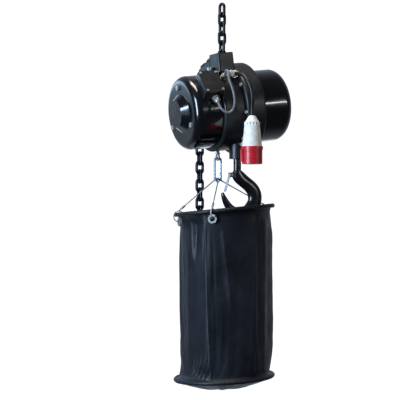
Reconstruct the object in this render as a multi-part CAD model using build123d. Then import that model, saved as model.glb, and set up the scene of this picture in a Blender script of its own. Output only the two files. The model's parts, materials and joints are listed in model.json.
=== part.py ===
from build123d import *
import math
import os

# Electric chain hoist of the climbing kind: the load chain hangs from above and
# the hoist runs up it. Units are millimetres, +Z is up, the load chain hangs down
# the Z axis from the origin, X runs along the motor shaft and -Y is the front.

# ---- load chain and slack chain
chain_wire = 7.8
chain_pitch = 24.0
chain_nominal_wire = 8.0
chain_width = 25.4
load_links = 7
slack_start_gap = 21.0
slack_start_z = -133.0
slack_slopes = (14.0, 14.0, 14.0, 38.0, 64.0)
slack_drop_links = 30
chain_twist = 14.0

# ---- hoist body
body_tilt = 7.0
tilt_pivot_z = -150.0
wheel_pockets = 5
axis_z = -266.0
casing_left_x = -38.0
casing_split_x = 20.0
casing_right_x = 75.0
casing_radius = 106.0
gear_case_radius = 118.0
casing_bolt_angles = (150.0, 188.0, 226.0, 300.0)
casing_back_y = 118.0
chamber_radius = 60.0
channel_side_room = 12.0
web_thickness = 18.0

guide_width = 46.0
guide_side_room = 5.0
guide_depth = 54.0
guide_height = 48.0
guide_top_z = -123.0
chute_length = 70.0
chute_side = 14.0
chute_sheet = 3.0
chute_leg_gap = 43.0

# ---- covers
cover_radius = 95.0
cover_wall = 3.0
motor_cover_length = 75.0
motor_cover_round = 19.0
gear_cover_length = 94.0
gear_cover_round = 26.0
boss_base_radius = 50.0
boss_face_radius = 35.0
boss_height = 16.0

# ---- shafts, gears and bearings
running_clearance = 0.05
mesh_backlash = 0.25
part_gap = 0.4
motor_shaft_radius = 9.0
drive_shaft_radius = 5.5
pinion_seat_radius = 4.0
wheel_shaft_radius = 14.0
wheel_shaft_bore = 6.5
bearing_radius = 26.0
bearing_width = 10.0
lay_shaft_radius = 6.0
lay_bearing_radius = 13.0
first_module = 1.25
first_pinion_teeth = 12
first_gear_teeth = 60
second_module = 1.5
second_pinion_teeth = 12
second_gear_teeth = 48
first_gear_width = 10.0
second_gear_width = 14.0
wheel_width = 30.0
wheel_radius = 45.0

# ---- motor and brake
stator_bore = 40.5
stator_length = 30.0
winding_height = 6.0
rotor_gap = 0.5
brake_radius = 56.0
brake_disc_radius = 50.0

# ---- electrical fittings
box_middle_x = -65.0
box_angle = 35.0
box_width = 52.0
box_height = 66.0
box_depth = 34.0
box_wall = 3.0
lid_thickness = 4.0
gland_hex = 16.0
gland_length = 18.0
control_cable_diameter = 6.0
power_cable_diameter = 10.0
power_gland_hex = 20.0
power_gland_length = 34.0
control_route = [
    (-49.0, -77.5, -257.5), (-48.0, -86.0, -269.0), (-41.0, -92.0, -280.0), (-28.0, -95.0, -285.0),
    (-15.0, -95.0, -276.0), (-10.0, -94.0, -258.0), (-10.5, -91.0, -239.0), (-13.5, -87.0, -221.0),
    (-18.0, -82.0, -204.0), (-20.0, -77.0, -188.0), (-17.0, -69.0, -176.0), (-15.5, -58.0, -172.0),
    (-15.0, -47.0, -181.0)]
power_route = [
    (12.0, -58.0, -181.0), (13.0, -75.0, -182.0), (16.0, -93.0, -189.0), (21.0, -107.0, -204.0),
    (26.0, -114.0, -224.0), (29.0, -115.0, -246.0), (31.0, -108.0, -267.0), (31.0, -108.0, -290.0)]
plug_nut_length = 16.0
plug_nut_radius = 18.5
plug_grip_length = 8.0
plug_body_length = 53.0
plug_body_radius = 25.0
plug_ring_radius = 27.5
plug_ring_length = 8.0
plug_collar_radius = 25.8
plug_collar_length = 36.0
plug_shroud_wall = 3.2
plug_pin_radius = 2.5
plug_pin_count = 5
plug_pin_circle = 14.0

# ---- hook
hook_x = 15.0
hook_neck_z = -388.0
hook_shank_radius = 10.0
yoke_radius = 21.0
yoke_height = 48.0
yoke_pin_radius = 6.0
yoke_pin_drop = 11.0
pin_reach = 30.0
hook_nut_height = 9.0
thrust_height = 4.0
latch_sheet = 2.0
latch_pin_radius = 2.5
latch_x = -19.0
latch_drop = 47.0
latch_length = 46.0
latch_rest = 17.0

# ---- carabiner and wires
eye_x = 12.0
eye_y = 50.0
eye_z = -387.0
eye_ring_radius = 8.0
eye_wire = 5.0
eye_shank_radius = 4.0
carabiner_height = 66.0
carabiner_width = 24.0
carabiner_wire = 6.0
gate_length = 26.0
wire_rope = 3.2
wire_loop_radius = 5.4
wire_eye_radius = 14.0
wire_fan = (-50.0, 0.0, 50.0)
ferrule_radius = 3.2
ferrule_length = 14.0
ferrule_start = 8.5

# ---- chain bag
bag_x = 28.0
bag_y = 45.0
bag_radius = 122.0
bag_wall = 3.0
bag_top_z = -530.0
bag_bottom_z = -960.0
bag_sag = 32.0
bag_view_turn = 25.0
top_hoop_tilt = 5.5
bottom_hoop_tilt = 3.0
hoop_outside_wall = 4.0
hoop_wire = 8.0
grommet_radius = 11.5
grommet_hole = 6.5
grommet_drop = 15.0
grommet_turns = (172.0, 230.0, 10.0)
heap_radius = 84.0
heap_height = 40.0

# ---- worked out from the values above
wheel_pitch_radius = wheel_pockets * chain_pitch / math.pi
axis_y = wheel_pitch_radius
chain_end_radius = (chain_width - chain_nominal_wire) / 2
centre_distance = first_module * (first_pinion_teeth + first_gear_teeth) / 2
motor_left_x = casing_left_x - motor_cover_length
lay_axis_z = axis_z + centre_distance
first_mesh_x = casing_right_x + 40
second_mesh_x = casing_right_x + 16
stator_left_x = casing_left_x - 8 - stator_length
brake_x = motor_left_x + cover_wall
stator_radius = cover_radius - cover_wall - 0.1
hook_turn = math.radians(body_tilt)
hook_line_x = hook_x * math.cos(hook_turn) - (hook_neck_z - tilt_pivot_z) * math.sin(hook_turn)
yoke_top_z = hook_neck_z + yoke_height - 6
yoke_room_z = yoke_top_z - yoke_height + 8
gear_right_x = casing_right_x + gear_cover_length


def tilted(shape):
    """Hang a hoist body piece at the angle that the unloaded hoist takes."""
    return shape.rotate(Axis((0, 0, tilt_pivot_z), (0, -1, 0)), body_tilt)


def along_x(radius, x_start, x_end, y=axis_y, z=axis_z):
    """A round bar along X between two stations."""
    bar = Cylinder(radius, x_end - x_start, align=(Align.CENTER, Align.CENTER, Align.MIN))
    return Pos(x_start, y, z) * Rot(0, 90, 0) * bar


def ring_x(outer, inner, x_start, x_end, y=axis_y, z=axis_z):
    """A round tube along X between two stations."""
    return along_x(outer, x_start, x_end, y, z) - along_x(inner, x_start - 1, x_end + 1, y, z)


def rod_between(start, end, radius):
    """A round rod from one point to another."""
    line = Vector(*end) - Vector(*start)
    bar = Cylinder(radius, line.length, align=(Align.CENTER, Align.CENTER, Align.MIN))
    return Plane(origin=start, z_dir=line) * bar


def hex_head(centre, direction, across, height):
    """A hexagon head or nut with its underside at the given point."""
    outline = RegularPolygon(across / 2, 6, major_radius=False)
    return Plane(origin=centre, z_dir=direction) * extrude(outline, height)


def chain_link():
    """One round-wire link standing along Z with its broad side across X."""
    straight = chain_pitch + chain_nominal_wire - 2 * chain_end_radius
    side = Cylinder(chain_wire / 2, straight)
    bend = Torus(chain_end_radius, chain_wire / 2)
    half_space = Box(80, 80, 40, align=(Align.CENTER, Align.CENTER, Align.MIN))
    top_bend = (Rot(90, 0, 0) * bend) & half_space
    link = Pos(chain_end_radius, 0, 0) * side + Pos(-chain_end_radius, 0, 0) * side
    link += Pos(0, 0, straight / 2) * top_bend
    link += Pos(0, 0, -straight / 2) * Rot(180, 0, 0) * top_bend
    return link


def load_chain():
    """The hanging chain from its top link down into the guide."""
    link = chain_link()
    links = []
    for count in range(load_links):
        turn = 90 * ((count + 1) % 2) + chain_twist * (1 - count / (load_links - 1))
        height = -chain_pitch / 2 - count * chain_pitch
        links.append(Pos(0, 0, height) * Rot(0, 0, turn) * link)
    return links


def slack_chain():
    """The unloaded chain: down the chute behind the guide, then straight into the bag."""
    link = chain_link()
    links = []
    y = guide_depth / 2 + slack_start_gap
    z = slack_start_z
    slopes = list(slack_slopes) + [90.0] * slack_drop_links
    for count, slope in enumerate(slopes):
        if count > 0:
            for angle in (slopes[count - 1], slope):
                y += chain_pitch / 2 * math.cos(math.radians(angle))
                z -= chain_pitch / 2 * math.sin(math.radians(angle))
        links.append(Pos(0, y, z) * Rot(90 - slope, 0, 0) * Rot(0, 0, 90 * (count % 2)) * link)
    return links


# ---- covers and castings

def rounded_drum(radius, x_start, x_end, rounding, round_at_start):
    """A solid drum along X with one rounded rim."""
    drum = along_x(radius, x_start, x_end)
    rims = drum.edges().filter_by(GeomType.CIRCLE).sort_by(Axis.X)
    rim = rims[0] if round_at_start else rims[-1]
    return fillet(rim, rounding)


def boss_cone(base_radius, face_radius, height, x_face):
    """The raised round middle of the motor cover, its small face at x_face."""
    cone = Cone(face_radius, base_radius, height, align=(Align.CENTER, Align.CENTER, Align.MIN))
    return Pos(x_face, axis_y, axis_z) * Rot(0, 90, 0) * cone


def motor_cover():
    outer = rounded_drum(cover_radius, motor_left_x, casing_left_x, motor_cover_round, True)
    outer += boss_cone(boss_base_radius, boss_face_radius, boss_height, motor_left_x - boss_height)
    inner = rounded_drum(
        cover_radius - cover_wall, motor_left_x + cover_wall, casing_left_x + 1,
        motor_cover_round - cover_wall, True)
    inner += boss_cone(
        boss_base_radius - cover_wall, boss_face_radius - cover_wall, boss_height + 1,
        motor_left_x - boss_height + cover_wall)
    return outer - inner


def gear_cover():
    outer = rounded_drum(cover_radius, casing_right_x, gear_right_x, gear_cover_round, False)
    inner = rounded_drum(
        cover_radius - cover_wall, casing_right_x - 1, gear_right_x - cover_wall,
        gear_cover_round - cover_wall, False)
    shell = outer - inner
    shell += ring_x(lay_bearing_radius + 4, lay_bearing_radius, gear_right_x - 24,
                    gear_right_x - cover_wall + 1, axis_y, lay_axis_z)
    seat_end = gear_right_x - cover_wall + 1
    return shell + ring_x(bearing_radius, bearing_radius - 5, gear_right_x - 24, seat_end)


def casing_outline(radius, x_start, x_end, rounding):
    """A round casting, flat at the back where the slack chain falls past it."""
    body = along_x(radius, x_start, x_end)
    rims = body.edges().filter_by(GeomType.CIRCLE)
    body = fillet(rims, rounding)
    keep = Box(400, 400, 400, align=(Align.CENTER, Align.MAX, Align.CENTER))
    return body & (Pos(0, casing_back_y, axis_z) * keep)


def chain_channel():
    """The shaft that the load chain falls through, wide enough for the tilt."""
    width = 2 * (chain_width / 2 + channel_side_room)
    depth = chain_width + 6
    return Pos(0, 0, axis_z - 20) * Box(width, depth, 400, align=(Align.CENTER, Align.CENTER, Align.MIN))


def hook_pocket():
    """The room under the casing that the hook's trunnion block sits in."""
    pocket = Cylinder(yoke_radius + part_gap, 90, align=(Align.CENTER, Align.CENTER, Align.MAX))
    return Pos(hook_line_x, 0, yoke_top_z + part_gap) * pocket


def casing_frame():
    body = casing_outline(casing_radius, casing_left_x, casing_split_x, 5.0)
    body -= along_x(chamber_radius, casing_left_x + web_thickness, casing_split_x + 1)
    body -= along_x(bearing_radius, casing_left_x - 1, casing_left_x + web_thickness + 1)
    return tilted(body - chain_channel()) - hook_pocket() - hook_pin_hole() - eye_hole()


def gear_case():
    body = casing_outline(gear_case_radius, casing_split_x, casing_right_x, 9.0)
    body -= along_x(cover_radius - cover_wall - 4, casing_split_x + web_thickness, casing_right_x + 1)
    body -= along_x(bearing_radius, casing_split_x - 1, casing_split_x + web_thickness + 1)
    web_end = casing_split_x + web_thickness + 1
    body -= along_x(lay_bearing_radius, casing_split_x + 6, web_end, axis_y, lay_axis_z)
    return tilted(body - chain_channel()) - hook_pocket() - hook_pin_hole()



def hook_pin_hole():
    """The cross hole in the casings for the hook's suspension pin."""
    pin = Rot(90, 0, 0) * Cylinder(yoke_pin_radius, 2 * pin_reach)
    return Pos(hook_line_x, 0, yoke_top_z - yoke_pin_drop) * pin


def guide_block():
    block = Box(guide_width, guide_depth, guide_height, align=(Align.CENTER, Align.CENTER, Align.MAX))
    block = fillet(block.edges().filter_by(Axis.Z), 6.0)
    block = fillet(block.faces().sort_by(Axis.Z)[-1].edges(), 3.0)
    hole = Box(chain_width + 2 * guide_side_room, chain_width + 5, 2 * guide_height)
    block = Pos(0, 0, guide_top_z) * (block - hole)
    return tilted(block) - casing_envelope()


def casing_envelope():
    """The room that both castings fill, cut from what stands on them."""
    frame = along_x(casing_radius, casing_left_x, casing_split_x)
    return tilted(frame + along_x(gear_case_radius, casing_split_x, casing_right_x))


def chain_chute():
    """The open trough that turns the slack chain back and down over the casing."""
    width = chain_width + 14
    length = chute_length
    trough = Box(width, length, chute_side, align=(Align.CENTER, Align.MIN, Align.MIN))
    hollow = Box(width - 2 * chute_sheet, length + 2, chute_side, align=(Align.CENTER, Align.MIN, Align.MIN))
    trough -= Pos(0, -1, chute_sheet) * hollow
    trough = Rot(-slack_slopes[0], 0, 0) * trough
    trough = Pos(0, guide_depth / 2 + 3, slack_start_z - chain_width / 2 - chute_sheet - 2) * trough
    leg = Box(width - 14, 12, 40, align=(Align.CENTER, Align.MIN, Align.MAX))
    leg = Pos(0, guide_depth / 2 + chute_leg_gap, slack_start_z - chain_width / 2 - 12) * leg
    leg -= along_x(casing_radius + 0.2, casing_left_x, casing_split_x)
    return tilted(trough + leg)


# ---- gears, shafts and the lift wheel

def spur_gear(teeth, module, width, bore, x_middle, y, z, phase=0.0):
    """A straight-flanked spur gear on an axis along X."""
    pitch_radius = module * teeth / 2
    tip_radius = pitch_radius + module
    root_radius = pitch_radius - 1.25 * module
    half_pitch_angle = math.pi / 2 / teeth - mesh_backlash / 2 / pitch_radius
    flank = math.tan(math.radians(20)) * module
    half_tip = half_pitch_angle - flank / pitch_radius
    half_root = half_pitch_angle + 1.1 * flank / pitch_radius
    points = []
    for tooth in range(teeth):
        middle = 2 * math.pi * tooth / teeth + phase
        for radius, angle in ((root_radius, -half_root), (tip_radius, -half_tip),
                              (tip_radius, half_tip), (root_radius, half_root)):
            points.append((radius * math.cos(middle + angle), radius * math.sin(middle + angle)))
    outline = make_face(Polyline(*points, close=True))
    blank = extrude(outline, width) - Cylinder(bore, 3 * width)
    return Pos(x_middle - width / 2, y, z) * Rot(0, 90, 0) * blank


def second_phase(teeth):
    """Half a tooth, so that a gear meets its mate tooth to gap."""
    return math.pi / teeth


def motor_pinion():
    width = first_gear_width + 2
    return tilted(spur_gear(first_pinion_teeth, first_module, width, pinion_seat_radius,
                            first_mesh_x, axis_y, axis_z, math.pi))


def lay_gear():
    return tilted(spur_gear(first_gear_teeth, first_module, first_gear_width, lay_shaft_radius,
                            first_mesh_x, axis_y, lay_axis_z, second_phase(first_gear_teeth)))


def lay_pinion():
    width = second_gear_width + 2
    return tilted(spur_gear(second_pinion_teeth, second_module, width, lay_shaft_radius,
                            second_mesh_x, axis_y, lay_axis_z, 0.0))


def output_gear():
    return tilted(spur_gear(second_gear_teeth, second_module, second_gear_width, wheel_shaft_radius,
                            second_mesh_x, axis_y, axis_z, math.pi + second_phase(second_gear_teeth)))


def lay_shaft():
    shaft = along_x(lay_shaft_radius, casing_split_x + 8, gear_right_x - cover_wall - 6, axis_y, lay_axis_z)
    return tilted(shaft)


def lay_bearings():
    left_x = casing_split_x + web_thickness - 10
    right_x = gear_right_x - cover_wall - 18
    rings = []
    for x in (left_x, right_x):
        rings.append(tilted(ring_x(lay_bearing_radius, lay_shaft_radius + running_clearance,
                                   x, x + 8, axis_y, lay_axis_z)))
    return rings


def motor_shaft():
    shaft = along_x(motor_shaft_radius, brake_x + 3, casing_left_x - part_gap)
    shaft += along_x(drive_shaft_radius, casing_left_x - 1, first_mesh_x - first_gear_width / 2 - 3)
    seat_start = first_mesh_x - first_gear_width / 2 - 4
    shaft += along_x(pinion_seat_radius, seat_start, gear_right_x - cover_wall - 6)
    return tilted(shaft)


def rotor_core():
    core = along_x(stator_bore - rotor_gap, stator_left_x, stator_left_x + stator_length)
    vent = ring_x(30, 16, stator_left_x - 1, stator_left_x + 2)
    return tilted(core - vent - along_x(motor_shaft_radius, motor_left_x, casing_left_x))


def stator_core():
    return tilted(ring_x(stator_radius, stator_bore + 16, stator_left_x, stator_left_x + stator_length))


def stator_windings():
    winding = ring_x(stator_bore + 15.5, stator_bore, stator_left_x - winding_height,
                     stator_left_x + stator_length + winding_height)
    return tilted(winding)


def brake_coil():
    coil = ring_x(brake_radius, motor_shaft_radius + 3, brake_x, brake_x + 8)
    return tilted(coil)


def brake_plate():
    return tilted(ring_x(brake_radius, motor_shaft_radius + 3, brake_x + 8.8, brake_x + 11.8))


def brake_disc():
    return tilted(ring_x(brake_disc_radius, motor_shaft_radius, brake_x + 12.8, brake_x + 16.8))


def motor_bearing():
    """The bearing at the pinion end of the motor shaft, in the gear cover."""
    start = gear_right_x - cover_wall - 18
    return tilted(ring_x(bearing_radius - 5, pinion_seat_radius + running_clearance, start, start + 8))


def wheel_bearings():
    rings = []
    for x in (casing_left_x + web_thickness - bearing_width, casing_split_x + web_thickness - bearing_width):
        ring = ring_x(bearing_radius, wheel_shaft_radius + running_clearance, x, x + bearing_width)
        rings.append(tilted(ring))
    return rings


def wheel_shaft():
    start = casing_left_x + 4
    end = second_mesh_x + second_gear_width / 2 + 2
    return tilted(ring_x(wheel_shaft_radius, wheel_shaft_bore, start, end))


def lift_wheel():
    """The pocket wheel: flat links lie in its pockets, upright links in its groove."""
    wheel = along_x(wheel_radius, -wheel_width / 2, wheel_width / 2)
    groove_floor = wheel_pitch_radius - chain_width / 2 - 1
    wheel -= ring_x(wheel_radius + 1, groove_floor, -chain_wire / 2 - 1, chain_wire / 2 + 1)
    pocket_length = chain_pitch + 2 * chain_nominal_wire + 1
    pocket = Box(chain_width + 1, pocket_length, 20, align=(Align.CENTER, Align.CENTER, Align.MIN))
    for count in range(wheel_pockets):
        turn = Pos(0, axis_y, axis_z) * Rot(360 * count / wheel_pockets, 0, 0)
        wheel -= turn * Pos(0, 0, wheel_pitch_radius - chain_nominal_wire) * pocket
    return tilted(wheel - along_x(wheel_shaft_radius, -40, 40))


# ---- fasteners and fittings on the body

def cover_screws():
    """Cap screws through the gear cover's rim and the motor cover's rim."""
    screws = []
    for x, direction, radius in ((gear_right_x, 1, 52.0), (motor_left_x, -1, 66.0)):
        for count in range(3):
            angle = math.radians(90 + 120 * count)
            y = axis_y + radius * math.cos(angle)
            z = axis_z + radius * math.sin(angle)
            screws.append(tilted(hex_head((x, y, z), (direction, 0, 0), 12.0, 5.0)))
    return screws


def casing_bolts():
    """Socket screws round the gear case, heads on its left shoulder."""
    bolts = []
    radius = (casing_radius + gear_case_radius) / 2
    for degrees in casing_bolt_angles:
        angle = math.radians(degrees)
        y = axis_y + radius * math.cos(angle)
        z = axis_z + radius * math.sin(angle)
        head = Cylinder(4.5, 5, align=(Align.CENTER, Align.CENTER, Align.MAX))
        bolts.append(tilted(Pos(casing_split_x, y, z) * Rot(0, 90, 0) * head))
    return bolts


def on_box(shape):
    """Put a piece drawn on the junction box's own frame onto the drum."""
    return tilted(Pos(box_middle_x, axis_y, axis_z) * Rot(-box_angle, 0, 0) * shape)


def junction_box():
    face = cover_radius + 24
    box = Box(box_width, box_depth, box_height, align=(Align.CENTER, Align.MIN, Align.CENTER))
    box = fillet(box.edges().filter_by(Axis.Y), 4.0)
    room = Box(box_width - 2 * box_wall, box_depth - box_wall, box_height - 2 * box_wall,
               align=(Align.CENTER, Align.MIN, Align.CENTER))
    box = Pos(0, -face, 0) * box - Pos(0, -face - 1, 0) * room
    drum = Rot(0, 90, 0) * Cylinder(cover_radius + 0.1, 2 * box_width)
    return on_box(box - drum)


def junction_lid():
    lid = Box(box_width + 2, lid_thickness, box_height + 2, align=(Align.CENTER, Align.MAX, Align.CENTER))
    lid = fillet(lid.edges().filter_by(Axis.Y), 5.0)
    return on_box(Pos(0, -cover_radius - 24, 0) * lid)


def lid_screws():
    screws = []
    face = cover_radius + 24 + lid_thickness
    for side_x in (-1, 1):
        for side_z in (-1, 1):
            x = side_x * (box_width / 2 - 5)
            z = side_z * (box_height / 2 - 5)
            head = Cylinder(3, 2, align=(Align.CENTER, Align.CENTER, Align.MIN))
            screws.append(on_box(Pos(x, -face, z) * Rot(90, 0, 0) * head))
    return screws


def terminal_block():
    block = Box(34, 14, 22)
    return on_box(Pos(0, -cover_radius - 11, 6) * block)


def gland_between(start, toward, across, length, bore):
    """A cable gland: hexagon foot, neck and domed cap, standing on start."""
    place = Plane(origin=start, z_dir=toward)
    foot = extrude(RegularPolygon(across / 2, 6, major_radius=False), 5)
    body = foot + Cylinder(across * 0.42, length * 0.55, align=(Align.CENTER, Align.CENTER, Align.MIN))
    cap = extrude(RegularPolygon(across * 0.46, 6, major_radius=False), length * 0.3)
    body += Pos(0, 0, length * 0.45) * cap
    dome = Cone(across * 0.42, bore + 1.2, length * 0.28, align=(Align.CENTER, Align.CENTER, Align.MIN))
    body += Pos(0, 0, length * 0.72) * dome
    body -= Cylinder(bore, 3 * length)
    return place * body


def back_along(route, distance):
    """The point a given way back from a cord's first point, along its first run."""
    start = Vector(*route[0])
    away = (Vector(*route[1]) - start).normalized()
    return start - away * distance, away


def control_glands():
    """The gland under the junction box and the gland on the casing."""
    bore = control_cable_diameter / 2
    glands = []
    for route in (control_route, control_route[::-1]):
        foot, away = back_along(route, gland_length)
        gland = gland_between(foot, away, gland_hex, gland_length, bore)
        glands.append(gland - casing_envelope())
    return glands


def power_gland():
    foot, away = back_along(power_route, power_gland_length)
    gland = gland_between(foot, away, power_gland_hex, power_gland_length, power_cable_diameter / 2)
    block = Box(guide_width + 2, guide_depth + 2, guide_height, align=(Align.CENTER, Align.CENTER, Align.MAX))
    return gland - casing_envelope() - tilted(Pos(0, 0, guide_top_z) * block)


def spare_fittings():
    """Blanking plugs on the top of the casing, left of the guide."""
    plugs = []
    for x, degrees in ((-30.0, 104.0), (-30.0, 122.0)):
        angle = math.radians(degrees)
        out = (0, math.cos(angle), math.sin(angle))
        start = (x, axis_y + (casing_radius - 0.6) * out[1], axis_z + (casing_radius - 0.6) * out[2])
        plugs.append(tilted(hex_head(start, out, 13.0, 8.0)) - casing_envelope())
    return plugs


def cord_tube(name, route, diameter):
    """A round cord along a hand-chosen route: straight runs joined by large arcs."""
    radii = []
    points = [Vector(*point) for point in route]
    for before, corner, after in zip(points, points[1:], points[2:]):
        run_in = corner - before
        run_out = after - corner
        turn = math.radians(run_in.get_angle(run_out))
        radii.append(0.45 * min(run_in.length, run_out.length) / math.tan(turn / 2))
    print(name, "bend radii", [round(radius, 1) for radius in radii])
    path = FilletPolyline(*route, radius=radii)
    section = Plane(origin=route[0], z_dir=points[1] - points[0]) * Circle(diameter / 2)
    tube = sweep(section, path=path)
    print(name, "length", round(path.length, 1), "volume share", round(
        tube.volume / (math.pi * diameter ** 2 / 4 * path.length), 4))
    return tube


# ---- the plug on the power cable, hanging collar down

def on_plug(shape, drop):
    """Place a piece of the plug at a drop below the cable's end."""
    end = power_route[-1]
    return Pos(end[0], end[1], end[2] - drop) * shape


def down_cone(top_radius, bottom_radius, length):
    return Cone(bottom_radius, top_radius, length, align=(Align.CENTER, Align.CENTER, Align.MAX))


def down_bar(radius, length):
    return Cylinder(radius, length, align=(Align.CENTER, Align.CENTER, Align.MAX))


def plug_nut():
    nut = down_cone(power_cable_diameter / 2 + 3, plug_nut_radius - 1, plug_nut_length)
    nut += Pos(0, 0, -plug_nut_length) * down_bar(plug_nut_radius, plug_grip_length)
    for count in range(16):
        rib = Pos(plug_nut_radius, 0, -plug_nut_length) * down_bar(1.2, plug_grip_length)
        nut += Rot(0, 0, 22.5 * count) * rib
    return on_plug(nut, 0)


def plug_body():
    body = down_cone(plug_nut_radius + 0.8, plug_body_radius, plug_body_length)
    return on_plug(body, plug_nut_length + plug_grip_length)


def plug_collar():
    ring = down_bar(plug_ring_radius, plug_ring_length)
    collar = ring + Pos(0, 0, -plug_ring_length) * down_bar(plug_collar_radius, plug_collar_length)
    depth = plug_collar_length + plug_ring_length - 6
    collar -= Pos(0, 0, -6) * down_bar(plug_collar_radius - plug_shroud_wall, depth + 1)
    key = Box(7, 9, plug_collar_length - 6, align=(Align.CENTER, Align.CENTER, Align.MAX))
    collar += Pos(-plug_collar_radius - 1.5, 0, -plug_ring_length) * key
    collar -= Pos(0, 0, -6) * down_bar(plug_collar_radius - plug_shroud_wall, depth + 1)
    return on_plug(collar, plug_nut_length + plug_grip_length + plug_body_length)


def plug_pins():
    pins = []
    for count in range(plug_pin_count):
        angle = math.radians(360 * count / plug_pin_count + 18)
        x = plug_pin_circle * math.cos(angle)
        y = plug_pin_circle * math.sin(angle)
        top = plug_nut_length + plug_grip_length + plug_body_length + 6
        pins.append(on_plug(Pos(x, y, 0) * down_bar(plug_pin_radius, plug_collar_length - 8), top))
    return pins


# ---- hook, its suspension and its latch

def hook_yoke():
    """The trunnion block that hangs in the casing and holds the hook's nut."""
    bottom_z = yoke_top_z - yoke_height
    block = Pos(hook_line_x, 0, bottom_z) * Cylinder(
        yoke_radius, yoke_height, align=(Align.CENTER, Align.CENTER, Align.MIN))
    room_height = hook_nut_height + thrust_height + 3
    room = Cylinder(yoke_radius - 4, room_height, align=(Align.CENTER, Align.CENTER, Align.MIN))
    block -= Pos(hook_line_x, 0, yoke_room_z) * room
    block -= Pos(hook_line_x, 0, bottom_z - 1) * Cylinder(
        hook_shank_radius + running_clearance, yoke_height, align=(Align.CENTER, Align.CENTER, Align.MIN)
    ) & (Pos(hook_line_x, 0, yoke_room_z + 1) * Box(80, 80, 80, align=(Align.CENTER, Align.CENTER, Align.MAX)))
    return block - hook_pin_hole()


def hook_pin():
    bar = Cylinder(yoke_pin_radius - 0.02, 2 * pin_reach)
    return Pos(hook_line_x, 0, yoke_top_z - yoke_pin_drop) * Rot(90, 0, 0) * bar


def thrust_bearing():
    ring = Cylinder(yoke_radius - 5, thrust_height, align=(Align.CENTER, Align.CENTER, Align.MIN))
    ring -= Cylinder(hook_shank_radius + 0.1, 3 * thrust_height)
    return Pos(hook_line_x, 0, yoke_room_z) * ring


def hook_nut():
    nut = extrude(RegularPolygon(yoke_radius - 6, 6), hook_nut_height)
    nut -= Cylinder(hook_shank_radius, 4 * hook_nut_height)
    return Pos(hook_line_x, 0, yoke_room_z + thrust_height + 0.3) * nut


def hook_section(outer, inner, half_thickness):
    """One oval cross-section between the hook's outer and inner curves."""
    out = Vector(outer[0], 0, outer[1])
    inside = Vector(inner[0], 0, inner[1])
    across = out - inside
    plane = Plane(origin=(out + inside) * 0.5, x_dir=across, z_dir=across.cross(Vector(0, 1, 0)))
    return plane * Ellipse(across.length / 2, half_thickness)


def hook():
    """A forged point hook: round shank, thick back, bowl and tapered tip."""
    stations = [
        ((11, -36), (-11, -36), 11), ((19, -41), (-14, -50), 12), ((30, -50), (-6, -65), 13),
        ((44, -60), (12, -79), 14), ((62, -78), (27, -92), 14.5), ((70, -104), (32, -104), 14.5),
        ((61, -136), (28, -118), 14), ((33, -153), (18, -129), 13.5), ((2, -156), (3, -131.5), 13),
        ((-23, -145), (-12, -126), 12), ((-38, -125), (-22, -117), 10), ((-45, -105), (-33, -103), 7.5),
        ((-46, -94), (-39, -92), 4.5)]
    body = loft([hook_section(*station) for station in stations])
    shank_top = yoke_room_z + thrust_height + hook_nut_height + 1 - hook_neck_z
    shank = Cylinder(hook_shank_radius, shank_top + 40, align=(Align.CENTER, Align.CENTER, Align.MIN))
    body += Pos(0, 0, -40) * shank
    for side in (-1, 1):
        ear = Box(15, 3, 12)
        body += Pos(latch_x + 5.5, side * 8, -latch_drop) * ear
    body -= Pos(latch_x, 0, -latch_drop) * Rot(90, 0, 0) * Cylinder(latch_pin_radius, 60)
    slot = Box(12, 13, 13)
    body -= Pos(latch_x, 0, -latch_drop) * slot
    return Pos(hook_line_x, 0, hook_neck_z) * body


def latch_pin():
    bar = Cylinder(latch_pin_radius, 20)
    return Pos(hook_line_x + latch_x, 0, hook_neck_z - latch_drop) * Rot(90, 0, 0) * bar


def hook_latch():
    """The sprung sheet that closes the hook's throat, turning on its pin."""
    tube = Cylinder(latch_pin_radius + 1.8, 11) - Cylinder(latch_pin_radius + running_clearance, 20)
    barrel = Rot(90, 0, 0) * tube
    plate = Box(latch_sheet, 11, latch_length, align=(Align.CENTER, Align.CENTER, Align.MAX))
    plate = Pos(-latch_pin_radius - 0.8, 0, 0) * plate
    plate -= Rot(90, 0, 0) * Cylinder(latch_pin_radius + running_clearance, 20)
    latch = Rot(0, latch_rest, 0) * (barrel + plate)
    return Pos(hook_line_x + latch_x, 0, hook_neck_z - latch_drop) * latch


# ---- bag suspension

def bag_eye():
    """The eye bolt under the casing that the chain bag hangs from."""
    ring = Rot(0, 90, 0) * Torus(eye_ring_radius, eye_wire / 2)
    shank = Cylinder(eye_shank_radius, 30, align=(Align.CENTER, Align.CENTER, Align.MIN))
    collar = Cylinder(7, 3, align=(Align.CENTER, Align.CENTER, Align.MIN))
    lift = Pos(0, 0, eye_ring_radius)
    return Pos(eye_x, eye_y, eye_z) * (ring + lift * shank + lift * collar)


def eye_hole():
    hole = Cylinder(eye_shank_radius, 60, align=(Align.CENTER, Align.CENTER, Align.MIN))
    return Pos(eye_x, eye_y, eye_z + eye_ring_radius - 2) * hole


def carabiner_middle_z():
    return eye_z - eye_ring_radius + eye_wire / 2 + carabiner_wire - carabiner_height / 2 + 0.4


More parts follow.
